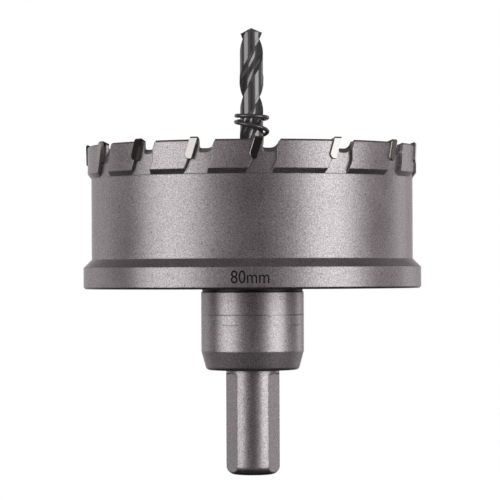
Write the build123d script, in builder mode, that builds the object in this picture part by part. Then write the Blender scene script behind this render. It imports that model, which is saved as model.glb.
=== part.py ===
from build123d import *
from math import cos, degrees, radians, sin, sqrt, tan
import os

# Carbide-tipped hole saw, 80 mm, on a one-piece arbor with a 13 mm three-flat shank.
# It stands on the end of its shank. The origin is the centre of that end face and
# +Z runs up the tool's axis to the point of the pilot drill. Lengths are millimetres.
# An angle round the saw is counted from the front (-Y) towards +X, the way it cuts.

# Shank, which the drill chuck grips
shank_diameter = 12.9
shank_length = 25.2
shank_end_radius = 2.1
shank_flat_count = 3
shank_flat_depth = 0.57        # how far each flat lies below the round
shank_flat_length = 24.5       # along its middle
shank_flat_cutter_radius = 10  # the arched top that the end mill leaves
first_flat_angle = 60

# Hub of the arbor, and the spigot that carries the cutter
hub_diameter = 24.8
hub_length = 19.6
hub_taper_length = 4.6
hub_taper_angle = 15
hub_edge_radius = 1.0
neck_groove_width = 0.8
neck_groove_depth = 0.25
spigot_diameter = 18
spigot_clearance = 0.03

# Cutter body: stop flange, tube and crown turned in one piece. Its diameters follow
# from the hole that the saw cuts.
cutting_diameter = 80
tip_stand = 0.4                # the tips stand out this far from the crown
crown_step = 0.9               # and the crown this far from the tube
flange_rim = 2                 # and the stop flange this far
flange_thickness = 5.1
flange_edge_chamfer = 0.45
flange_top_chamfer = 1.97
tube_wall = 1.5
cup_depth = 28.8
floor_thickness = 5.4
floor_corner_chamfer = 1.2
crown_height = 7.8             # from the foot of the crown's chamfer to its top edge
crown_foot_chamfer = 1.2       # height of that chamfer
crown_wall = 1.55
crown_bore_depth = 4.6
crown_edge_chamfer = 0.4
crown_top_angle = 21.5         # the top slopes down to the inside

# Teeth, in equal groups of unequal pitch
tooth_groups = 3
wide_pitch_angle = 27.3
wide_pitches = 2
narrow_pitches = 3
first_tooth_angle = 0.95

# Carbide tip, brazed into a leaning seat
kerf = 2.05
tip_width = 1.8
tip_lean = 17.8
tip_height = 4.95
tip_rise = 0.6                 # above the crown's top edge
tip_back_radius = 1.0
tip_front_radius = 0.25
tip_crest_chamfer = 0.35

# Gullet, cut through the crown ahead of each tip
gullet_land = 0.15             # from the tip's front corner to the gullet's wall
gullet_width = 3.1
gullet_depth = 2.0
gullet_flank_angle = 22
gullet_front_radius = 2.0
gullet_back_radius = 0.5
gullet_floor_slope = 55
gullet_overrun = 0.05          # past the flute's floor

# Flute, the shallow chip slot down the outside of the crown
flute_floor_step = 0.06        # how far its floor stands out from the tube
flute_front_arc = 5.15         # its front wall, from the tooth's back corner
flute_front_straight = 4.65    # how far down the crown that wall runs straight
flute_lean = 23

# Pilot drill
drill_diameter = 5.8
drill_reach = 28.7             # beyond the crown's top edge
drill_depth = 17.8             # held in the arbor, below the flange's seat
drill_clearance = 0.02
drill_point_angle = 135
drill_web = 1.1
drill_flute_opening = 88
drill_lead = 27.9
drill_flute_length = 50
drill_margin_angle = 13
drill_body_clearance = 0.1
drill_point_turn = 33          # how far the lands are turned at the point
drill_end_chamfer = 0.5

# Ejector spring round the drill, wound left-handed
spring_diameter = 8.6
spring_wire = 1
spring_stand = 8.3             # its top above the crown's top edge
spring_turns = 8.5
spring_closed_turns = 1.25     # at each end, to the middle of the eased stretch
spring_ease_turns = 1
spring_closed_gap = 0.05
spring_end_angle = 180         # where the upper end of the wire lies
spring_points_per_turn = 8
spring_wire_sides = 6

# Set screw that clamps the drill, in the back of the hub
screw_diameter = 6
screw_clearance = 0.03
screw_length = 8
screw_height = 9.8             # below the flange's seat
screw_flat_depth = 0.4         # the flat on the drill that it bears on
screw_flat_length = 9
screw_socket = 3               # across flats
screw_socket_depth = 3
screw_edge_chamfer = 0.6
screw_angle = 180

# Heights and radii that follow from the sizes above
shank_radius = shank_diameter / 2
hub_radius = hub_diameter / 2
hub_bottom = shank_length
seat_height = hub_bottom + hub_length
floor_height = seat_height + floor_thickness
flange_top = seat_height + flange_thickness
cutting_radius = cutting_diameter / 2
crown_radius = cutting_radius - tip_stand
tube_radius = crown_radius - crown_step
flange_radius = tube_radius + flange_rim
cup_radius = tube_radius - tube_wall
crown_top = floor_height + cup_depth
crown_foot = crown_top - crown_height
crown_inner_radius = crown_radius - crown_wall
drill_radius = drill_diameter / 2
drill_top = crown_top + drill_reach
drill_bottom = seat_height - drill_depth
screw_centre_height = seat_height - screw_height
shank_flat_distance = shank_radius - shank_flat_depth
screw_seat_distance = drill_radius - screw_flat_depth
reach_out = 5                  # how far cutting shapes run past what they cut


def facing(angle, distance):
    # A plane that faces straight out from the axis: its x runs round the saw, its y up
    outward = Vector(sin(radians(angle)), -cos(radians(angle)), 0)
    along = Vector(cos(radians(angle)), sin(radians(angle)), 0)
    return Plane(origin=outward * distance, x_dir=along, z_dir=outward)


def arc_angle(arc):
    # The angle that an arc on the crown's outside spans
    return degrees(arc / crown_radius)


os.makedirs("parts", exist_ok=True)

# Arbor: shank, hub and spigot turned from one bar, bored for the drill
hub_taper = hub_taper_length * tan(radians(hub_taper_angle))
groove_bottom = seat_height - neck_groove_width
with BuildPart() as arbor:
    with BuildSketch(Plane.XZ) as arbor_profile:
        with BuildLine():
            Polyline(
                (0, 0),
                (shank_radius, 0),
                (shank_radius, hub_bottom),
                (hub_radius - hub_taper, hub_bottom),
                (hub_radius, hub_bottom + hub_taper_length),
                (hub_radius, groove_bottom),
                (hub_radius - neck_groove_depth, groove_bottom),
                (hub_radius - neck_groove_depth, seat_height),
                (spigot_diameter / 2, seat_height),
                (spigot_diameter / 2, floor_height),
                (0, floor_height),
                close=True,
            )
        make_face()
        fillet(arbor_profile.vertices().group_by(Axis.Y)[0].sort_by(Axis.X)[-1], shank_end_radius)
        hub_corners = arbor_profile.vertices().filter_by_position(
            Axis.Y, hub_bottom - 0.01, hub_bottom + 0.01
        )
        fillet(hub_corners.sort_by(Axis.X)[-1], hub_edge_radius)
    revolve(axis=Axis.Z)
    # The three flats, each with the arched end that the cutter leaves
    flat_half_width = sqrt(shank_radius**2 - shank_flat_distance**2)
    arch_rise = shank_flat_cutter_radius - sqrt(shank_flat_cutter_radius**2 - flat_half_width**2)
    for number in range(shank_flat_count):
        flat_angle = first_flat_angle + number * 360 / shank_flat_count
        with BuildSketch(facing(flat_angle, shank_flat_distance)):
            with BuildLine():
                Polyline(
                    (-flat_half_width, shank_flat_length - arch_rise),
                    (-flat_half_width, -reach_out),
                    (flat_half_width, -reach_out),
                    (flat_half_width, shank_flat_length - arch_rise),
                )
                ThreePointArc(
                    (flat_half_width, shank_flat_length - arch_rise),
                    (0, shank_flat_length),
                    (-flat_half_width, shank_flat_length - arch_rise),
                )
            make_face()
        extrude(amount=shank_flat_depth * 2, mode=Mode.SUBTRACT)
    # Blind bore for the drill, ending in the cone of the tool that made it
    bore_radius = drill_radius + drill_clearance
    bore_cone = bore_radius / tan(radians(drill_point_angle / 2))
    with BuildSketch(Plane.XZ):
        with BuildLine():
            Polyline(
                (0, drill_bottom - bore_cone),
                (bore_radius, drill_bottom),
                (bore_radius, floor_height + reach_out),
                (0, floor_height + reach_out),
                close=True,
            )
        make_face()
    revolve(axis=Axis.Z, mode=Mode.SUBTRACT)
    # Tapped hole for the set screw, from the bore out through the back of the hub
    with BuildSketch(facing(screw_angle, screw_seat_distance)):
        with Locations((0, screw_centre_height)):
            Circle(screw_diameter / 2 + screw_clearance)
    extrude(amount=hub_radius + reach_out, mode=Mode.SUBTRACT)
arbor.part.label = "arbor"
export_step(arbor.part, "parts/arbor.step")

# Gullet: a notch through the crown, whose floor falls away to the outside. It reaches
# just past the flute's floor, and the flute opens the rest of the wall.
gullet_left = -gullet_width / 2
gullet_right = gullet_width / 2
gullet_open = gullet_depth + reach_out
flank_run = gullet_open * tan(radians(gullet_flank_angle))
gullet_floor = crown_top - gullet_depth
flute_floor_radius = tube_radius + flute_floor_step
gullet_run = flute_floor_radius + gullet_overrun - crown_inner_radius
with BuildPart() as gullet:
    gullet_plane = Plane(
        origin=(0, -crown_inner_radius, gullet_floor), x_dir=(1, 0, 0), z_dir=(0, -1, 0)
    )
    with BuildSketch(gullet_plane) as gullet_profile:
        with BuildLine():
            Polyline(
                (gullet_left, gullet_open),
                (gullet_left, 0),
                (gullet_right, 0),
                (gullet_right + flank_run, gullet_open),
                close=True,
            )
        make_face()
        fillet(gullet_profile.vertices().group_by(Axis.Y)[0].sort_by(Axis.X)[0], gullet_back_radius)
        fillet(gullet_profile.vertices().group_by(Axis.Y)[0].sort_by(Axis.X)[-1], gullet_front_radius)
    floor_slope = radians(gullet_floor_slope)
    down_and_out = (0, -cos(floor_slope), -sin(floor_slope))
    extrude(amount=gullet_run / cos(floor_slope), dir=down_and_out, both=True)

# Flute: a slot down the crown's outside that follows the tip and opens below it
lean_run = tan(radians(tip_lean))
flute_run = tan(radians(flute_lean))
tip_bottom = crown_top + tip_rise - tip_height
tip_foot_arc = -(crown_top - tip_bottom) * lean_run
tip_half_width = tip_width / 2
flute_bottom = crown_foot - reach_out
flute_knee = crown_top - flute_front_straight
flute_centre_arc = flute_front_arc / 2
with BuildPart() as flute:
    flute_plane = Plane(origin=(-flute_centre_arc, 0, 0), x_dir=(1, 0, 0), z_dir=(0, -1, 0))
    with BuildSketch(flute_plane):
        with BuildLine():
            Polyline(
                (tip_half_width + reach_out * lean_run, crown_top + reach_out),
                (tip_foot_arc + tip_half_width, tip_bottom),
                (tip_foot_arc + tip_half_width - (tip_bottom - flute_bottom) * flute_run, flute_bottom),
                (flute_front_arc - (flute_knee - flute_bottom) * flute_run, flute_bottom),
                (flute_front_arc, flute_knee),
                (flute_front_arc, gullet_floor),
                (flute_front_arc + flank_run, gullet_floor + gullet_open),
                close=True,
            )
        make_face()
    extrude(amount=crown_radius + reach_out)
    Cylinder(
        flute_floor_radius,
        crown_top + reach_out * 2,
        align=(Align.CENTER, Align.CENTER, Align.MIN),
        mode=Mode.SUBTRACT,
    )

# Carbide tip, and the same outline run through the wall as its seat
tip_inner_radius = cutting_radius - kerf
crest_radius = cutting_radius - tip_crest_chamfer
tip_top = crown_top + tip_rise
top_slope = tan(radians(crown_top_angle))


def tip_outline(rise):
    # The leaning face of a tip, up to a height above the crown's top edge
    with BuildSketch(Plane.XZ) as outline:
        with BuildLine():
            Polyline(
                (rise * lean_run - tip_half_width, crown_top + rise),
                (tip_foot_arc - tip_half_width, tip_bottom),
                (tip_foot_arc + tip_half_width, tip_bottom),
                (rise * lean_run + tip_half_width, crown_top + rise),
                close=True,
            )
        make_face()
        fillet(outline.vertices().group_by(Axis.Y)[0].sort_by(Axis.X)[0], tip_back_radius)
        fillet(outline.vertices().group_by(Axis.Y)[0].sort_by(Axis.X)[-1], tip_front_radius)
    return outline.sketch


with BuildPart() as tip_seat:
    add(tip_outline(reach_out))
    extrude(amount=cutting_radius + reach_out, dir=(0, -1, 0))

with BuildPart() as tip_blank:
    with BuildSketch(Plane.YZ):
        with BuildLine():
            Polyline(
                (-tip_inner_radius, tip_bottom - reach_out),
                (-cutting_radius, tip_bottom - reach_out),
                (-cutting_radius, tip_top - tip_crest_chamfer),
                (-crest_radius, tip_top),
                (-tip_inner_radius, tip_top - (crest_radius - tip_inner_radius) * top_slope),
                close=True,
            )
        make_face()
    extrude(amount=tip_height, both=True)
    add(tip_outline(reach_out))
    extrude(amount=cutting_radius + reach_out, dir=(0, -1, 0), mode=Mode.INTERSECT)

# Where the teeth stand: in each group the wide pitches come first
group_angle = 360 / tooth_groups
narrow_pitch_angle = (group_angle - wide_pitches * wide_pitch_angle) / narrow_pitches
group_angles = [number * wide_pitch_angle for number in range(wide_pitches)]
group_angles += [
    wide_pitches * wide_pitch_angle + number * narrow_pitch_angle
    for number in range(narrow_pitches)
]
tooth_angles = [
    first_tooth_angle + group * group_angle + angle
    for group in range(tooth_groups)
    for angle in group_angles
]

# Cutter body
crown_slope_drop = (crown_radius - crown_edge_chamfer - crown_inner_radius) * top_slope
crown_bore_bottom = crown_top - crown_bore_depth
bore_step = crown_inner_radius - cup_radius
with BuildPart() as cutter_body:
    with BuildSketch(Plane.XZ) as body_profile:
        with BuildLine():
            Polyline(
                (spigot_diameter / 2 + spigot_clearance, seat_height),
                (flange_radius, seat_height),
                (flange_radius, flange_top),
                (tube_radius, flange_top + flange_top_chamfer),
                (tube_radius, crown_foot),
                (crown_radius, crown_foot + crown_foot_chamfer),
                (crown_radius, crown_top - crown_edge_chamfer),
                (crown_radius - crown_edge_chamfer, crown_top),
                (crown_inner_radius, crown_top - crown_slope_drop),
                (crown_inner_radius, crown_bore_bottom),
                (cup_radius, crown_bore_bottom - bore_step),
                (cup_radius, floor_height),
                (spigot_diameter / 2 + spigot_clearance, floor_height),
                close=True,
            )
        make_face()
        chamfer(body_profile.vertices().group_by(Axis.Y)[0].sort_by(Axis.X)[-1], flange_edge_chamfer)
        inner_corners = body_profile.vertices().filter_by_position(
            Axis.Y, floor_height - 0.01, floor_height + 0.01
        )
        chamfer(inner_corners.sort_by(Axis.X)[-1], floor_corner_chamfer)
    revolve(axis=Axis.Z)
    tip_centre_angle = arc_angle(tip_half_width)
    flute_centre_angle = arc_angle(flute_centre_arc)
    gullet_centre_angle = arc_angle(tip_width + gullet_land + gullet_width / 2)
    for tooth_angle in tooth_angles:
        add(tip_seat.part, rotation=(0, 0, tooth_angle + tip_centre_angle), mode=Mode.SUBTRACT)
        add(gullet.part, rotation=(0, 0, tooth_angle + gullet_centre_angle), mode=Mode.SUBTRACT)
        add(flute.part, rotation=(0, 0, tooth_angle + flute_centre_angle), mode=Mode.SUBTRACT)
cutter_body.part.label = "cutter_body"
export_step(cutter_body.part, "parts/cutter_body.step")

for number, tooth_angle in enumerate(tooth_angles, start=1):
    with BuildPart() as carbide_tip:
        add(tip_blank.part, rotation=(0, 0, tooth_angle + tip_centre_angle))
    carbide_tip.part.label = f"carbide_tip_{number:02d}"
    export_step(carbide_tip.part, f"parts/carbide_tip_{number:02d}.step")

# Pilot drill: two round flutes twisted up it, each land relieved behind its margin
flute_start = drill_top - drill_flute_length
half_web = drill_web / 2
edge_distance = drill_radius * cos(radians(drill_flute_opening / 2))
drill_flute_centre = (drill_radius**2 - half_web**2) / (2 * (edge_distance - half_web))
drill_flute_radius = drill_flute_centre - half_web
land_radius = drill_radius - drill_body_clearance
relief_start = drill_flute_opening / 2
relief_angle = 180 - drill_flute_opening - drill_margin_angle
drill_twist = 360 * drill_flute_length / drill_lead
with BuildPart() as pilot_drill:
    with BuildLine() as drill_axis:
        Line((0, 0, flute_start), (0, 0, drill_top))
    drill_helix = Helix(
        drill_lead, drill_flute_length, drill_radius, (0, 0, flute_start), mode=Mode.PRIVATE
    )
    with BuildSketch(Plane.XY.offset(flute_start).rotated((0, 0, drill_point_turn - drill_twist))):
        Circle(drill_radius)
        with PolarLocations(drill_flute_centre, 2):
            Circle(drill_flute_radius, mode=Mode.SUBTRACT)
        for side in (0, 180):
            with BuildLine():
                inner_arc = CenterArc((0, 0), land_radius, side + relief_start, relief_angle)
                outer_arc = CenterArc((0, 0), drill_diameter, side + relief_start, relief_angle)
                Line(inner_arc @ 0, outer_arc @ 0)
                Line(inner_arc @ 1, outer_arc @ 1)
            make_face(mode=Mode.SUBTRACT)
    sweep(path=drill_axis.line, binormal=drill_helix)
    # The point, ground to a cone
    point_slope = 1 / tan(radians(drill_point_angle / 2))
    with BuildSketch(Plane.XZ):
        with BuildLine():
            Polyline(
                (0, drill_top),
                (drill_diameter, drill_top - drill_diameter * point_slope),
                (drill_diameter, drill_top + reach_out),
                (0, drill_top + reach_out),
                close=True,
            )
        make_face()
    revolve(axis=Axis.Z, mode=Mode.SUBTRACT)
    # The plain end that the arbor holds
    with BuildSketch(Plane.XZ):
        with BuildLine():
            Polyline(
                (0, drill_bottom),
                (drill_radius - drill_end_chamfer, drill_bottom),
                (drill_radius, drill_bottom + drill_end_chamfer),
                (drill_radius, flute_start),
                (0, flute_start),
                close=True,
            )
        make_face()
    revolve(axis=Axis.Z)
    # The flat that the set screw bears on
    with BuildSketch(facing(screw_angle, screw_seat_distance)):
        with Locations((0, screw_centre_height)):
            Rectangle(drill_diameter, screw_flat_length)
    extrude(amount=screw_flat_depth * 2, mode=Mode.SUBTRACT)
pilot_drill.part.label = "pilot_drill"
export_step(pilot_drill.part, "parts/pilot_drill.step")

# Set screw with a hexagon socket, sunk in the back of the hub
with BuildPart() as pilot_set_screw:
    with BuildSketch(facing(screw_angle, screw_seat_distance + drill_clearance)):
        with Locations((0, screw_centre_height)):
            Circle(screw_diameter / 2)
    extrude(amount=screw_length)
    chamfer(pilot_set_screw.edges().filter_by(GeomType.CIRCLE), screw_edge_chamfer)
    with BuildSketch(facing(screw_angle, screw_seat_distance + drill_clearance + screw_length)):
        with Locations((0, screw_centre_height)):
            RegularPolygon(screw_socket / 2, 6, major_radius=False)
    extrude(amount=-screw_socket_depth, mode=Mode.SUBTRACT)
pilot_set_screw.part.label = "pilot_set_screw"
export_step(pilot_set_screw.part, "parts/pilot_set_screw.step")

# Ejector spring: closed end turns that ease into open ones. The wire's section is a
# hexagon whose corners lie on the round wire's outside.
spring_rise = cup_depth + spring_stand - spring_wire
spring_mean_radius = (spring_diameter - spring_wire) / 2
closed_pitch = spring_wire + spring_closed_gap
open_turns = spring_turns - 2 * spring_closed_turns
open_pitch = (spring_rise - 2 * spring_closed_turns * closed_pitch) / open_turns
spring_point_count = round(spring_turns * spring_points_per_turn)


def eased_turns(turns):
    # Turns gone since the middle of an eased start: none well before it, all well after
    share = min(max(turns / spring_ease_turns + 0.5, 0), 1)
    return spring_ease_turns * (share**3 - share**4 / 2) + max(turns - spring_ease_turns / 2, 0)


def spring_point(turns):
    # The middle of the wire, so many turns up from its lower end
    opened = eased_turns(turns - spring_closed_turns)
    opened -= eased_turns(turns - spring_turns + spring_closed_turns)
    height = floor_height + spring_wire / 2 + closed_pitch * turns
    height += (open_pitch - closed_pitch) * opened
    angle = radians(spring_end_angle + 360 * (spring_turns - turns))
    return (spring_mean_radius * sin(angle), -spring_mean_radius * cos(angle), height)


with BuildPart() as ejector_spring:
    with BuildLine() as spring_line:
        coil = Spline(
            *[
                spring_point(number * spring_turns / spring_point_count)
                for number in range(spring_point_count + 1)
            ]
        )
    with BuildSketch(Plane(origin=coil @ 0, z_dir=coil % 0)):
        RegularPolygon(spring_wire / 2, spring_wire_sides)
    sweep(path=spring_line.wire(), is_frenet=True)
ejector_spring.part.label = "ejector_spring"
export_step(ejector_spring.part, "parts/ejector_spring.step")
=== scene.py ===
import math

import bpy
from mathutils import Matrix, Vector


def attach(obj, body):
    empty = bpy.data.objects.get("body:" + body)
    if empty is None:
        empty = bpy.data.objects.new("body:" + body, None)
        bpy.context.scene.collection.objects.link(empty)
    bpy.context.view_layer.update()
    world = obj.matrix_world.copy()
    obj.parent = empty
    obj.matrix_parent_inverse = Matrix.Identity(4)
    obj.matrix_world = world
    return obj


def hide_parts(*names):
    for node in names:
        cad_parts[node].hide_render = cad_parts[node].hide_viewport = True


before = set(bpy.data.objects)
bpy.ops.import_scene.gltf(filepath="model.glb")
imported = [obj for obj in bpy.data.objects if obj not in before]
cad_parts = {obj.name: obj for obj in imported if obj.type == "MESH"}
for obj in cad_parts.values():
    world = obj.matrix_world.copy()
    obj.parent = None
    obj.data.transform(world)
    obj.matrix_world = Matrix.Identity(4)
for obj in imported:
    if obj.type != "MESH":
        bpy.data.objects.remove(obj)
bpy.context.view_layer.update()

millimetre = 0.001
print("frame loaded:", len(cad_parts), "nodes")


# Small helpers

def hexToLinear(text):
    # an sRGB hex colour as linear RGBA, by the curve of the sRGB standard
    channels = []
    for start in (1, 3, 5):
        value = int(text[start:start + 2], 16) / 255
        channels.append(value / 12.92 if value <= 0.04045 else ((value + 0.055) / 1.055) ** 2.4)
    return (*channels, 1.0)


def addNode(tree, kind, settings=None, inputs=None, links=None):
    # one node with its settings, its socket values and its incoming links
    node = tree.nodes.new(kind)
    for name, value in (settings or {}).items():
        setattr(node, name, value)
    for name, value in (inputs or {}).items():
        node.inputs[name].default_value = value
    for name, source in (links or {}).items():
        tree.links.new(source, node.inputs[name])
    return node


def selectOnly(piece):
    bpy.ops.object.select_all(action="DESELECT")
    piece.select_set(True)
    bpy.context.view_layer.objects.active = piece


def applyPlace(piece):
    # puts a piece's place into its mesh, so its object sits at the origin
    selectOnly(piece)
    bpy.ops.object.transform_apply(location=True, rotation=True, scale=True)


def dress(piece, material):
    piece.data.materials.clear()
    piece.data.materials.append(material)


# Camera: level, at the photo's height and distance, a touch of roll

camera = {
    "distance": 0.640,      # m from the saw's axis
    "height": 0.048,        # m, which is level with the flange
    "lens": 190.8,          # mm, which gives about 4.14 pixels per millimetre at the axis
    "sensor": 36.0,         # mm
    "shiftX": -0.0047,
    "shiftY": 0.0505,       # keeps the drill's point and the shank's end in the frame
    "roll": 0.25,           # degrees
    "nearClip": 0.01,       # m
    "farClip": 20.0,
}


def buildCamera():
    lens = bpy.data.cameras.new("photoCamera")
    lens.lens = camera["lens"]
    lens.sensor_width = camera["sensor"]
    lens.shift_x = camera["shiftX"]
    lens.shift_y = camera["shiftY"]
    lens.clip_start = camera["nearClip"]
    lens.clip_end = camera["farClip"]
    rig = bpy.data.objects.new("photoCamera", lens)
    bpy.context.scene.collection.objects.link(rig)
    rig.location = (0, -camera["distance"], camera["height"])
    rig.rotation_euler = (math.radians(90), math.radians(camera["roll"]), 0)
    bpy.context.scene.camera = rig


buildCamera()
print("camera placed")


# Materials: what each surface is, how it was made and what that gives the eye

# a noise texture keeps mostly between these two values
noiseLow = 0.3
noiseHigh = 0.7
softDetail = 3.0    # octaves of noise in soft patches
fineDetail = 2.0    # octaves of noise in fine grain


def newMaterial(name):
    material = bpy.data.materials.new(name)
    material.use_nodes = True
    tree = material.node_tree
    tree.nodes.clear()
    output = addNode(tree, "ShaderNodeOutputMaterial")
    shader = addNode(tree, "ShaderNodeBsdfPrincipled")
    tree.links.new(shader.outputs["BSDF"], output.inputs["Surface"])
    return material, tree, shader


blastedSteel = {
    "light": "#dbd3d5",         # satin steel, a little warm and purplish
    "shade": "#cec6c9",
    "cutterRoughness": 0.41,
    "arborRoughness": 0.385,
    "roughnessSpread": 0.03,    # up and down from patch to patch
    "blotch": 9.0,              # mm, size of the soft patches where the finish varies
    "grain": 0.26,              # mm, dimples left by the glass beads, coarser than real to show
    "grainLow": 0.35,           # noise values of the darkest and the brightest dimples
    "grainHigh": 0.65,
    "relief": 0.005,            # mm, depth of the dimples
    "sparkle": 0.32,            # how far the single dimples differ in brightness
    "pitSpacing": 1.3,          # mm, between the cells that may hold a dark pit
    "pitShare": 0.3,            # share of those cells that do
    "pitRadius": 0.18,          # mm
    "pitCore": 0.6,             # parts of the radius where a pit is darkest, and where it ends
    "pitRim": 1.3,
    "pitLeft": 0.45,            # share of the light that is left in its middle
    "softEdge": 0.3,            # mm, how far blasting rounds an edge
    "softEdgeSamples": 6,
    "cornerShadeReach": 0.7,          # mm, how far the painted corner shade reaches out from an inner corner
    "cornerShadeFull": 0.35,          # how open a spot is where the painted shade is full, and where it ends
    "cornerShadeEnd": 0.9,
    "cornerShadeLeft": 0.3,           # share of the light that is left in full painted shade
    "cornerShadeSamples": 8,
}

# dark lines round the hub: a turning line and a scuff on the steel, and painted shade under the
# flange. In mm: height, half width, how far the line draws in where the blotches run high, and
# the share of the light that is left on it
hubLines = {
    "turningLine": {"height": 38.5, "halfWidth": 0.24, "drawsIn": 0.28, "left": 0.5},
    "scuff": {"height": 36.1, "halfWidth": 0.22, "drawsIn": 3.0, "left": 0.6},
    # painted shade: the hub's top is darkened in a band where the flange shades it
    "shadeUnderFlange": {"height": 44.4, "halfWidth": 0.65, "drawsIn": 0.0, "left": 0.12},
}
lineFade = {
    "start": 0.45,              # blotch values where a line starts to draw in, and where it
    "end": 0.75,                # has drawn in all the way
}


def addDarkLine(tree, place, wearAndShade, blotch, line):
    # takes the wear-and-shade value down to what is left on a line round the piece, which is a mark on
    # the steel or, under the flange, painted shade
    sides = addNode(tree, "ShaderNodeSeparateXYZ", links={"Vector": place.outputs["Object"]})
    away = addNode(
        tree, "ShaderNodeMath", settings={"operation": "SUBTRACT"},
        inputs={1: line["height"] * millimetre}, links={0: sides.outputs["Z"]},
    )
    distance = addNode(
        tree, "ShaderNodeMath", settings={"operation": "ABSOLUTE"}, links={0: away.outputs[0]},
    )
    fading = addNode(
        tree, "ShaderNodeMapRange",
        inputs={
            "From Min": lineFade["start"], "From Max": lineFade["end"],
            "To Min": 0.0, "To Max": line["drawsIn"] * millimetre,
        },
        links={"Value": blotch.outputs["Fac"]},
    )
    offset = addNode(
        tree, "ShaderNodeMath", settings={"operation": "ADD"},
        links={0: distance.outputs[0], 1: fading.outputs["Result"]},
    )
    halfWidth = line["halfWidth"] * millimetre
    shade = addNode(
        tree, "ShaderNodeMapRange",
        inputs={
            "From Min": halfWidth / 2, "From Max": halfWidth,
            "To Min": line["left"], "To Max": 1.0,
        },
        links={"Value": offset.outputs[0]},
    )
    return addNode(
        tree, "ShaderNodeMath", settings={"operation": "MULTIPLY"},
        links={0: wearAndShade.outputs[0], 1: shade.outputs["Result"]},
    )


def buildBlastedSteel(name, roughness, lines):
    # Tool steel, glass-bead blasted: an even satin that blurs the softboxes. Close up
    # it has a sparkling grain, a few dark pits and soft edges, and painted shade darkens its inner
    # corners.
    material, tree, shader = newMaterial(name)
    place = addNode(tree, "ShaderNodeTexCoord")
    blotch = addNode(
        tree, "ShaderNodeTexNoise",
        inputs={"Scale": 1 / (blastedSteel["blotch"] * millimetre), "Detail": softDetail},
        links={"Vector": place.outputs["Object"]},
    )
    tint = addNode(tree, "ShaderNodeValToRGB", links={"Fac": blotch.outputs["Fac"]})
    tint.color_ramp.elements[0].position = noiseLow
    tint.color_ramp.elements[0].color = hexToLinear(blastedSteel["shade"])
    tint.color_ramp.elements[1].position = noiseHigh
    tint.color_ramp.elements[1].color = hexToLinear(blastedSteel["light"])
    grain = addNode(
        tree, "ShaderNodeTexNoise",
        inputs={"Scale": 1 / (blastedSteel["grain"] * millimetre), "Detail": fineDetail},
        links={"Vector": place.outputs["Object"]},
    )
    sparkle = addNode(
        tree, "ShaderNodeMapRange",
        inputs={
            "From Min": blastedSteel["grainLow"], "From Max": blastedSteel["grainHigh"],
            "To Min": 1 - blastedSteel["sparkle"], "To Max": 1 + blastedSteel["sparkle"],
        },
        links={"Value": grain.outputs["Fac"]},
    )
    # pits: a small spot in the middle of a few of the pattern's cells
    cells = addNode(
        tree, "ShaderNodeTexVoronoi",
        inputs={"Scale": 1 / (blastedSteel["pitSpacing"] * millimetre)},
        links={"Vector": place.outputs["Object"]},
    )
    pitSize = blastedSteel["pitRadius"] / blastedSteel["pitSpacing"]
    spot = addNode(
        tree, "ShaderNodeMapRange",
        inputs={
            "From Min": pitSize * blastedSteel["pitCore"], "From Max": pitSize * blastedSteel["pitRim"],
            "To Min": blastedSteel["pitLeft"], "To Max": 1.0,
        },
        links={"Value": cells.outputs["Distance"]},
    )
    lot = addNode(tree, "ShaderNodeSeparateColor", links={"Color": cells.outputs["Color"]})
    bare = addNode(
        tree, "ShaderNodeMath", settings={"operation": "GREATER_THAN"},
        inputs={1: blastedSteel["pitShare"]}, links={0: lot.outputs["Red"]},
    )
    pits = addNode(
        tree, "ShaderNodeMath", settings={"operation": "MAXIMUM"},
        links={0: spot.outputs["Result"], 1: bare.outputs[0]},
    )
    # painted shade in the inner corners: the colour darkens where ambient occlusion finds the spot
    # closed in
    corners = addNode(
        tree, "ShaderNodeAmbientOcclusion", settings={"samples": blastedSteel["cornerShadeSamples"]},
        inputs={"Distance": blastedSteel["cornerShadeReach"] * millimetre},
    )
    paintedCornerShade = addNode(
        tree, "ShaderNodeMapRange",
        inputs={
            "From Min": blastedSteel["cornerShadeFull"], "From Max": blastedSteel["cornerShadeEnd"],
            "To Min": blastedSteel["cornerShadeLeft"], "To Max": 1.0,
        },
        links={"Value": corners.outputs["AO"]},
    )
    # grain and pits are the steel's own; the painted corner shade and the painted shade under the
    # flange are multiplied in too
    wearAndShade = addNode(
        tree, "ShaderNodeMath", settings={"operation": "MULTIPLY"},
        links={0: sparkle.outputs["Result"], 1: pits.outputs[0]},
    )
    wearAndShade = addNode(
        tree, "ShaderNodeMath", settings={"operation": "MULTIPLY"},
        links={0: wearAndShade.outputs[0], 1: paintedCornerShade.outputs["Result"]},
    )
    for line in lines.values():
        wearAndShade = addDarkLine(tree, place, wearAndShade, blotch, line)
    colour = addNode(
        tree, "ShaderNodeVectorMath", settings={"operation": "SCALE"},
        links={0: tint.outputs["Color"], "Scale": wearAndShade.outputs[0]},
    )
    sheen = addNode(
        tree, "ShaderNodeMapRange",
        inputs={
            "From Min": noiseLow, "From Max": noiseHigh,
            "To Min": roughness - blastedSteel["roughnessSpread"],
            "To Max": roughness + blastedSteel["roughnessSpread"],
        },
        links={"Value": blotch.outputs["Fac"]},
    )
    edges = addNode(
        tree, "ShaderNodeBevel", settings={"samples": blastedSteel["softEdgeSamples"]},
        inputs={"Radius": blastedSteel["softEdge"] * millimetre},
    )
    relief = addNode(
        tree, "ShaderNodeBump",
        inputs={"Strength": 1.0, "Distance": blastedSteel["relief"] * millimetre},
        links={"Height": grain.outputs["Fac"], "Normal": edges.outputs["Normal"]},
    )
    shader.inputs["Metallic"].default_value = 1.0
    tree.links.new(colour.outputs["Vector"], shader.inputs["Base Color"])
    tree.links.new(sheen.outputs["Result"], shader.inputs["Roughness"])
    tree.links.new(relief.outputs["Normal"], shader.inputs["Normal"])
    return material


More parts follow.
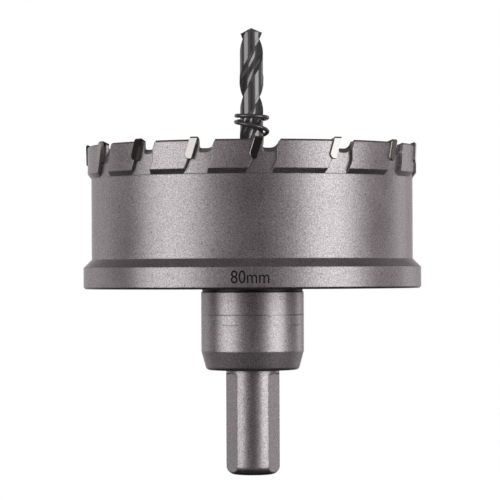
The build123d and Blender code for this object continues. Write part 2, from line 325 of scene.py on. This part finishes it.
cutterFinish = buildBlastedSteel("beadBlastedToolSteel", blastedSteel["cutterRoughness"], {})
arborFinish = buildBlastedSteel("beadBlastedArborSteel", blastedSteel["arborRoughness"], hubLines)


carbide = {
    "colour": "#c9c4c0",
    "wheelMarks": 0.3,          # mm, marks of the grinding wheel, coarser than real to show
    "roughnessLow": 0.05,
    "roughnessHigh": 0.1,
}


def buildCarbide():
    # Cemented tungsten carbide, ground with a fine diamond wheel: nearly a mirror, so
    # each tip is bright or black by what stands opposite it
    material, tree, shader = newMaterial("groundTungstenCarbide")
    place = addNode(tree, "ShaderNodeTexCoord")
    wheelMarks = addNode(
        tree, "ShaderNodeTexNoise",
        inputs={"Scale": 1 / (carbide["wheelMarks"] * millimetre), "Detail": fineDetail},
        links={"Vector": place.outputs["Object"]},
    )
    sheen = addNode(
        tree, "ShaderNodeMapRange",
        inputs={
            "From Min": noiseLow, "From Max": noiseHigh,
            "To Min": carbide["roughnessLow"], "To Max": carbide["roughnessHigh"],
        },
        links={"Value": wheelMarks.outputs["Fac"]},
    )
    shader.inputs["Metallic"].default_value = 1.0
    shader.inputs["Base Color"].default_value = hexToLinear(carbide["colour"])
    tree.links.new(sheen.outputs["Result"], shader.inputs["Roughness"])
    return material


carbideFinish = buildCarbide()


blackSteel = {
    "metallic": 0.6,
    "patch": 0.8,               # mm, size of the patches where the oxide is duller
    "smoother": 0.03,           # how far the roughness goes down and up from patch to patch
    "rougher": 0.04,
}


def buildBlackSteel(name, colour, roughness):
    # Steel with a black oxide skin: glossy, a little uneven, and near black wherever it
    # mirrors the dim room
    material, tree, shader = newMaterial(name)
    place = addNode(tree, "ShaderNodeTexCoord")
    patches = addNode(
        tree, "ShaderNodeTexNoise",
        inputs={"Scale": 1 / (blackSteel["patch"] * millimetre), "Detail": softDetail},
        links={"Vector": place.outputs["Object"]},
    )
    sheen = addNode(
        tree, "ShaderNodeMapRange",
        inputs={
            "From Min": noiseLow, "From Max": noiseHigh,
            "To Min": roughness - blackSteel["smoother"], "To Max": roughness + blackSteel["rougher"],
        },
        links={"Value": patches.outputs["Fac"]},
    )
    shader.inputs["Metallic"].default_value = blackSteel["metallic"]
    shader.inputs["Base Color"].default_value = hexToLinear(colour)
    tree.links.new(sheen.outputs["Result"], shader.inputs["Roughness"])
    return material


drillFinish = buildBlackSteel("steamTemperedDrillSteel", colour="#9d9b9b", roughness=0.16)
springFinish = buildBlackSteel("oilBlackenedSpringWire", colour="#979494", roughness=0.22)
screwFinish = buildBlackSteel("blackOxideScrewSteel", colour="#454344", roughness=0.35)
print("materials made")


# CAD nodes that keep their shape and get their finish, by how their names start

nodeFinishes = {
    "carbide_tip": carbideFinish,
    "cutter_body": cutterFinish,
    "arbor": arborFinish,
    "pilot_drill": drillFinish,
    "pilot_set_screw": screwFinish,
}


def dressNodes():
    for name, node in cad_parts.items():
        for start, finish in nodeFinishes.items():
            if name.startswith(start):
                dress(node, finish)


dressNodes()
print("CAD nodes dressed")


# Ejector spring in round wire, wound as the CAD node is

spring = {
    "wire": 1.0,                # mm
    "diameter": 8.6,            # mm, outside
    "foot": 50.2,               # mm, where it stands on the cup's floor
    "rise": 36.1,               # mm, between the middles of its two ends
    "turns": 8.5,
    "closedTurns": 1.25,        # at each end
    "closedPitch": 1.05,        # mm
    "easeTurns": 1.0,           # over which the pitch changes
    "endAngle": 180.0,          # degrees from the front, where its top end stands
    "pointsPerTurn": 8,
    "lengthSteps": 5,           # steps of the mesh from point to point
    "profileSteps": 4,          # bevel resolution of the wire's round
    "smoothAngle": 40.0,        # degrees
}


def easedTurns(turns):
    # the area under a smooth step round zero: none before it, and the turns themselves after
    ease = spring["easeTurns"]
    share = min(max(turns / ease + 0.5, 0), 1)
    return ease * (share ** 3 - share ** 4 / 2) + max(turns - ease / 2, 0)


def springPoint(turns, radius):
    openTurns = spring["turns"] - 2 * spring["closedTurns"]
    closedRise = 2 * spring["closedTurns"] * spring["closedPitch"]
    openPitch = (spring["rise"] - closedRise) / openTurns
    opened = easedTurns(turns - spring["closedTurns"])
    opened -= easedTurns(turns - spring["turns"] + spring["closedTurns"])
    height = spring["foot"] + spring["wire"] / 2 + spring["closedPitch"] * turns
    height += (openPitch - spring["closedPitch"]) * opened
    angle = math.radians(spring["endAngle"] + 360 * (spring["turns"] - turns))
    return Vector((radius * math.sin(angle), -radius * math.cos(angle), height)) * millimetre


def buildSpring():
    # a cubic spline runs inside its points, so they stand a little further out
    stepAngle = 2 * math.pi / spring["pointsPerTurn"]
    radius = (spring["diameter"] - spring["wire"]) / 2 * 3 / (2 + math.cos(stepAngle))
    count = round(spring["turns"] * spring["pointsPerTurn"])
    coil = bpy.data.curves.new("ejectorSpringWire", "CURVE")
    coil.dimensions = "3D"
    coil.bevel_depth = spring["wire"] / 2 * millimetre
    coil.bevel_resolution = spring["profileSteps"]
    coil.resolution_u = spring["lengthSteps"]
    coil.use_fill_caps = True
    line = coil.splines.new("NURBS")
    line.points.add(count)
    for number, point in enumerate(line.points):
        place = springPoint(number * spring["turns"] / count, radius)
        point.co = (*place, 1.0)
    line.order_u = 4
    line.use_endpoint_u = True
    piece = bpy.data.objects.new("ejectorSpringWire", coil)
    bpy.context.scene.collection.objects.link(piece)
    selectOnly(piece)
    bpy.ops.object.convert(target="MESH")
    piece = bpy.context.view_layer.objects.active
    bpy.ops.object.shade_smooth_by_angle(angle=math.radians(spring["smoothAngle"]))
    dress(piece, springFinish)
    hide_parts("ejector_spring")
    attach(piece, "root")


buildSpring()
print("spring wound")


# Braze fillets: the bead of solder that stands in the corner round each carbide tip

braze = {
    "shade": "#a39e98",
    "light": "#dcd8d2",
    "roughness": 0.3,
    "ripple": 0.35,             # mm
}

teeth = {
    "first": 0.95,              # degrees, front corner of the first tip
    "groups": 3,
    "widePitch": 27.3,          # degrees
    "widePitches": 2,
    "narrowPitches": 3,
    "crownRadius": 39.6,        # mm
    "crownTop": 79.0,           # mm
    "tipWidth": 1.8,            # mm
    "tipBottom": 74.65,         # mm
    "tipLean": 17.8,            # degrees
    "tipCorner": 1.0,           # mm, radius of its lower back corner
    "cornerSteps": 6,
    "bead": 0.16,               # mm, radius of the bead
    "profileSteps": 1,          # bevel resolution of its round
    "smoothAngle": 50.0,        # degrees
}


def buildBraze():
    # Silver braze, run smooth by heat and dulled by the blasting
    material, tree, shader = newMaterial("silverBraze")
    place = addNode(tree, "ShaderNodeTexCoord")
    ripple = addNode(
        tree, "ShaderNodeTexNoise",
        inputs={"Scale": 1 / (braze["ripple"] * millimetre), "Detail": fineDetail},
        links={"Vector": place.outputs["Object"]},
    )
    tint = addNode(tree, "ShaderNodeValToRGB", links={"Fac": ripple.outputs["Fac"]})
    tint.color_ramp.elements[0].color = hexToLinear(braze["shade"])
    tint.color_ramp.elements[1].color = hexToLinear(braze["light"])
    tree.links.new(tint.outputs["Color"], shader.inputs["Base Color"])
    shader.inputs["Metallic"].default_value = 1.0
    shader.inputs["Roughness"].default_value = braze["roughness"]
    return material


brazeFinish = buildBraze()


def toothAngles():
    groupAngle = 360 / teeth["groups"]
    wide = teeth["widePitches"] * teeth["widePitch"]
    narrow = (groupAngle - wide) / teeth["narrowPitches"]
    pitches = [number * teeth["widePitch"] for number in range(teeth["widePitches"])]
    pitches += [wide + number * narrow for number in range(teeth["narrowPitches"])]
    middle = math.degrees(teeth["tipWidth"] / 2 / teeth["crownRadius"])
    return [
        teeth["first"] + middle + group * groupAngle + pitch
        for group in range(teeth["groups"])
        for pitch in pitches
    ]


def beadPath():
    # down the back edge of a tip, round its lower corner and along its foot, as x and z
    tilt = math.radians(teeth["tipLean"])
    lean = math.tan(tilt)
    half = teeth["tipWidth"] / 2
    bottom = teeth["tipBottom"]
    footX = -(teeth["crownTop"] - bottom) * lean
    # the corner's arc touches the leaning back edge and the level foot
    corner = teeth["tipCorner"]
    centreX = footX - half + corner * (lean + 1 / math.cos(tilt))
    centreZ = bottom + corner
    points = [(-half, teeth["crownTop"])]
    for step in range(teeth["cornerSteps"] + 1):
        turn = math.pi - tilt + step / teeth["cornerSteps"] * (math.pi / 2 + tilt)
        points.append((centreX + corner * math.cos(turn), centreZ + corner * math.sin(turn)))
    points.append((footX + half, bottom))
    return points


def buildBrazeFillets():
    points = beadPath()
    bead = bpy.data.curves.new("brazeFillet", "CURVE")
    bead.dimensions = "3D"
    bead.bevel_depth = teeth["bead"] * millimetre
    bead.bevel_resolution = teeth["profileSteps"]
    bead.use_fill_caps = True
    line = bead.splines.new("POLY")
    line.points.add(len(points) - 1)
    for point, (x, z) in zip(line.points, points):
        outward = math.sqrt(teeth["crownRadius"] ** 2 - x ** 2)
        point.co = (x * millimetre, -outward * millimetre, z * millimetre, 1.0)
    first = bpy.data.objects.new("brazeFillet", bead)
    bpy.context.scene.collection.objects.link(first)
    selectOnly(first)
    bpy.ops.object.convert(target="MESH")
    first = bpy.context.view_layer.objects.active
    bpy.ops.object.shade_smooth_by_angle(angle=math.radians(teeth["smoothAngle"]))
    dress(first, brazeFinish)
    for number, angle in enumerate(toothAngles(), start=1):
        fillet = bpy.data.objects.new(f"brazeFillet{number:02d}", first.data.copy())
        bpy.context.scene.collection.objects.link(fillet)
        fillet.rotation_euler = (0, 0, math.radians(angle))
        applyPlace(fillet)
        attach(fillet, "root")
    bpy.data.objects.remove(first, do_unlink=True)


buildBrazeFillets()
print("tips brazed")


# Size mark on the front of the flange, burnt dark by a laser

mark = {
    "text": "80mm",
    "height": 4.0,              # mm, size of the letters before they are fitted
    "curveSteps": 4,
    "width": 8.75,              # mm, along the flange
    "digits": 3.0,              # mm, height of the figures
    "flangeRadius": 40.7,       # mm
    "middle": 47.65,            # mm, height of the mark's middle
    "turn": -0.74,              # degrees round the saw from the front
    "proud": 0.015,             # mm, how far the mark stands off the steel
    "skin": 0.03,               # mm, its thickness
    "shade": "#161415",
    "light": "#393537",
    "grain": 0.2,               # mm
    "metallic": 0.3,
    "roughness": 0.55,
}


def buildMarkFinish():
    # Laser-annealed steel: a dull black oxide line, slightly grainy
    material, tree, shader = newMaterial("laserAnnealedMark")
    place = addNode(tree, "ShaderNodeTexCoord")
    grain = addNode(
        tree, "ShaderNodeTexNoise",
        inputs={"Scale": 1 / (mark["grain"] * millimetre), "Detail": fineDetail},
        links={"Vector": place.outputs["Object"]},
    )
    tint = addNode(tree, "ShaderNodeValToRGB", links={"Fac": grain.outputs["Fac"]})
    tint.color_ramp.elements[0].color = hexToLinear(mark["shade"])
    tint.color_ramp.elements[1].color = hexToLinear(mark["light"])
    tree.links.new(tint.outputs["Color"], shader.inputs["Base Color"])
    shader.inputs["Metallic"].default_value = mark["metallic"]
    shader.inputs["Roughness"].default_value = mark["roughness"]
    return material


markFinish = buildMarkFinish()


def buildMark():
    bpy.ops.object.select_all(action="DESELECT")
    bpy.ops.object.text_add(location=(0, 0, 0))
    piece = bpy.context.view_layer.objects.active
    piece.name = "sizeMark"
    piece.data.body = mark["text"]
    piece.data.align_x = "CENTER"
    piece.data.align_y = "CENTER"
    piece.data.size = mark["height"] * millimetre
    piece.data.resolution_u = mark["curveSteps"]
    bpy.context.view_layer.update()
    selectOnly(piece)
    bpy.ops.object.convert(target="MESH")
    piece = bpy.context.view_layer.objects.active
    # the flat letters are fitted to their size and bent round the flange
    xs = [vertex.co.x for vertex in piece.data.vertices]
    ys = [vertex.co.y for vertex in piece.data.vertices]
    stretch = mark["width"] * millimetre / (max(xs) - min(xs))
    rise = mark["digits"] * millimetre / (max(ys) - min(ys))
    middleX = (max(xs) + min(xs)) / 2
    middleY = (max(ys) + min(ys)) / 2
    bpy.ops.object.mode_set(mode="EDIT")
    bpy.ops.mesh.select_all(action="SELECT")
    bpy.ops.mesh.quads_convert_to_tris()
    bpy.ops.mesh.subdivide(number_cuts=1)
    bpy.ops.object.mode_set(mode="OBJECT")
    radius = (mark["flangeRadius"] + mark["proud"]) * millimetre
    for vertex in piece.data.vertices:
        angle = (vertex.co.x - middleX) * stretch / radius + math.radians(mark["turn"])
        height = (vertex.co.y - middleY) * rise + mark["middle"] * millimetre
        vertex.co = (radius * math.sin(angle), -radius * math.cos(angle), height)
    skin = piece.modifiers.new("skin", "SOLIDIFY")
    skin.thickness = mark["skin"] * millimetre
    bpy.ops.object.modifier_apply(modifier=skin.name)
    dress(piece, markFinish)
    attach(piece, "root")


buildMark()
print("size mark made")


# Floor and studio

studio = {
    "floorSize": 6.0,           # m
    "floorColour": "#d4d4d4",
    "floorRoughness": 0.9,
    "floorGlow": 0.9,           # how much of its white the near floor has of itself
    "nearFloor": 0.02,          # m, where the floor starts to blend into the background
    "farFloor": 0.3,
    "boxDistance": 0.9,         # m from the axis
    "boxHeight": 0.62,          # m, size of the softboxes
    "boxMiddle": 0.15,          # m above the floor
    "boxColour": "#fbffff",     # the softboxes are a touch cooler than the room
    "room": 0.195,              # brightness of the dim room round the saw
    "roomColour": "#fff4f8",
    "backgroundEdge": 0.88,     # cosines of how far the background reaches round the back
    "backgroundFull": 0.97,
}

# azimuth in degrees from the camera towards +X, width in m
softboxes = {
    "leftSoftbox": {"azimuth": -57.0, "width": 0.68, "brightness": 1.13},
    "rightSoftbox": {"azimuth": 55.0, "width": 0.62, "brightness": 1.48},
    "leftRim": {"azimuth": -131.0, "width": 0.6, "brightness": 0.26},
    "rightRim": {"azimuth": 130.0, "width": 0.31, "brightness": 0.65},
}

# where the room is darker: the axis, the cosines where that is full and where it ends, and
# the share of the brightness that is left
dimSides = {
    "straightAbove": {"axis": "Z", "full": 0.8, "end": 0.3, "left": 0.38},
    "straightBelow": {"axis": "Z", "full": -0.65, "end": -0.2, "left": 0.1},
    "behindCamera": {"axis": "Y", "full": -0.988, "end": -0.955, "left": 0.12},
    "besideLeftSoftbox": {"axis": "X", "full": -0.993, "end": -0.965, "left": 0.15},
}


def addBackgroundView(tree, sides):
    # 1 where a ray shows the white background: the camera sees it all round, and the metal
    # mirrors it where it stands, right behind the saw
    rays = addNode(tree, "ShaderNodeLightPath")
    behind = addNode(
        tree, "ShaderNodeMapRange",
        settings={"interpolation_type": "SMOOTHSTEP"},
        inputs={"From Min": studio["backgroundEdge"], "From Max": studio["backgroundFull"]},
        links={"Value": sides.outputs["Y"]},
    )
    mirrored = addNode(
        tree, "ShaderNodeMath", settings={"operation": "MULTIPLY"},
        links={0: rays.outputs["Is Glossy Ray"], 1: behind.outputs["Result"]},
    )
    return addNode(
        tree, "ShaderNodeMath", settings={"operation": "MAXIMUM"},
        links={0: mirrored.outputs[0], 1: rays.outputs["Is Camera Ray"]},
    )


def addDimming(tree, strength, sides, dim):
    # dims the room towards one side: not at all up to the end, down to what is left from
    # full on
    share = addNode(
        tree, "ShaderNodeMapRange",
        settings={"interpolation_type": "SMOOTHSTEP"},
        inputs={"From Min": dim["full"], "From Max": dim["end"], "To Min": dim["left"], "To Max": 1.0},
        links={"Value": sides.outputs[dim["axis"]]},
    )
    return addNode(
        tree, "ShaderNodeMath", settings={"operation": "MULTIPLY"},
        links={0: strength.outputs[0], 1: share.outputs["Result"]},
    )


def addSoftbox(name, box):
    lamp = bpy.data.lights.new(name, "AREA")
    lamp.shape = "RECTANGLE"
    lamp.size = box["width"]
    lamp.size_y = studio["boxHeight"]
    lamp.energy = box["brightness"] * math.pi * box["width"] * studio["boxHeight"]
    lamp.color = hexToLinear(studio["boxColour"])[:3]
    holder = bpy.data.objects.new(name, lamp)
    bpy.context.scene.collection.objects.link(holder)
    turn = math.radians(box["azimuth"])
    place = Vector((math.sin(turn), -math.cos(turn), 0)) * studio["boxDistance"]
    holder.location = place + Vector((0, 0, studio["boxMiddle"]))
    holder.rotation_euler = (-place).to_track_quat("-Z", "Y").to_euler()
    holder.visible_camera = False


def buildStudio():
    for name, box in softboxes.items():
        addSoftbox(name, box)
    world = bpy.data.worlds.new("studio")
    bpy.context.scene.world = world
    world.use_nodes = True
    tree = world.node_tree
    tree.nodes.clear()
    place = addNode(tree, "ShaderNodeTexCoord")
    sides = addNode(tree, "ShaderNodeSeparateXYZ", links={"Vector": place.outputs["Generated"]})
    white = addBackgroundView(tree, sides)
    strength = addNode(tree, "ShaderNodeValue")
    strength.outputs[0].default_value = studio["room"]
    for dim in dimSides.values():
        strength = addDimming(tree, strength, sides, dim)
    room = addNode(
        tree, "ShaderNodeBackground",
        inputs={"Color": hexToLinear(studio["roomColour"])},
        links={"Strength": strength.outputs[0]},
    )
    background = addNode(
        tree, "ShaderNodeBackground", inputs={"Color": (1, 1, 1, 1), "Strength": 1.0},
    )
    sky = addNode(
        tree, "ShaderNodeMixShader",
        links={0: white.outputs[0], 1: room.outputs[0], 2: background.outputs[0]},
    )
    output = addNode(tree, "ShaderNodeOutputWorld")
    tree.links.new(sky.outputs[0], output.inputs["Surface"])
    bpy.context.scene.view_settings.view_transform = "Standard"


def buildBoard():
    # White painted board. Near the saw it takes the saw's shadow, and further off it
    # turns into the white background for the camera.
    material, tree, shader = newMaterial("whitePaintedBoard")
    shader.inputs["Base Color"].default_value = hexToLinear(studio["floorColour"])
    shader.inputs["Roughness"].default_value = studio["floorRoughness"]
    rays = addNode(tree, "ShaderNodeLightPath")
    place = addNode(tree, "ShaderNodeTexCoord")
    reach = addNode(
        tree, "ShaderNodeVectorMath", settings={"operation": "LENGTH"},
        links={0: place.outputs["Object"]},
    )
    far = addNode(
        tree, "ShaderNodeMapRange",
        settings={"interpolation_type": "SMOOTHSTEP"},
        inputs={"From Min": studio["nearFloor"], "From Max": studio["farFloor"]},
        links={"Value": reach.outputs["Value"]},
    )
    blend = addNode(
        tree, "ShaderNodeMath", settings={"operation": "MULTIPLY"},
        links={0: rays.outputs["Is Camera Ray"], 1: far.outputs["Result"]},
    )
    glowStrength = addNode(
        tree, "ShaderNodeMath", settings={"operation": "MULTIPLY"},
        inputs={1: studio["floorGlow"]}, links={0: rays.outputs["Is Camera Ray"]},
    )
    glow = addNode(
        tree, "ShaderNodeEmission",
        inputs={"Color": (1, 1, 1, 1)}, links={"Strength": glowStrength.outputs[0]},
    )
    near = addNode(tree, "ShaderNodeAddShader", links={0: shader.outputs[0], 1: glow.outputs[0]})
    white = addNode(
        tree, "ShaderNodeEmission", inputs={"Color": (1, 1, 1, 1), "Strength": 1.0},
    )
    board = addNode(
        tree, "ShaderNodeMixShader",
        links={0: blend.outputs[0], 1: near.outputs[0], 2: white.outputs[0]},
    )
    output = tree.get_output_node("ALL")
    tree.links.new(board.outputs[0], output.inputs["Surface"])
    return material


def buildFloor():
    bpy.ops.object.select_all(action="DESELECT")
    bpy.ops.mesh.primitive_plane_add(size=studio["floorSize"], location=(0, 0, 0))
    floor = bpy.context.view_layer.objects.active
    floor.name = "studioFloor"
    applyPlace(floor)
    dress(floor, buildBoard())
    # the metal sees past the board to the softboxes and the background
    floor.visible_glossy = False


buildFloor()
buildStudio()
print("studio lit")
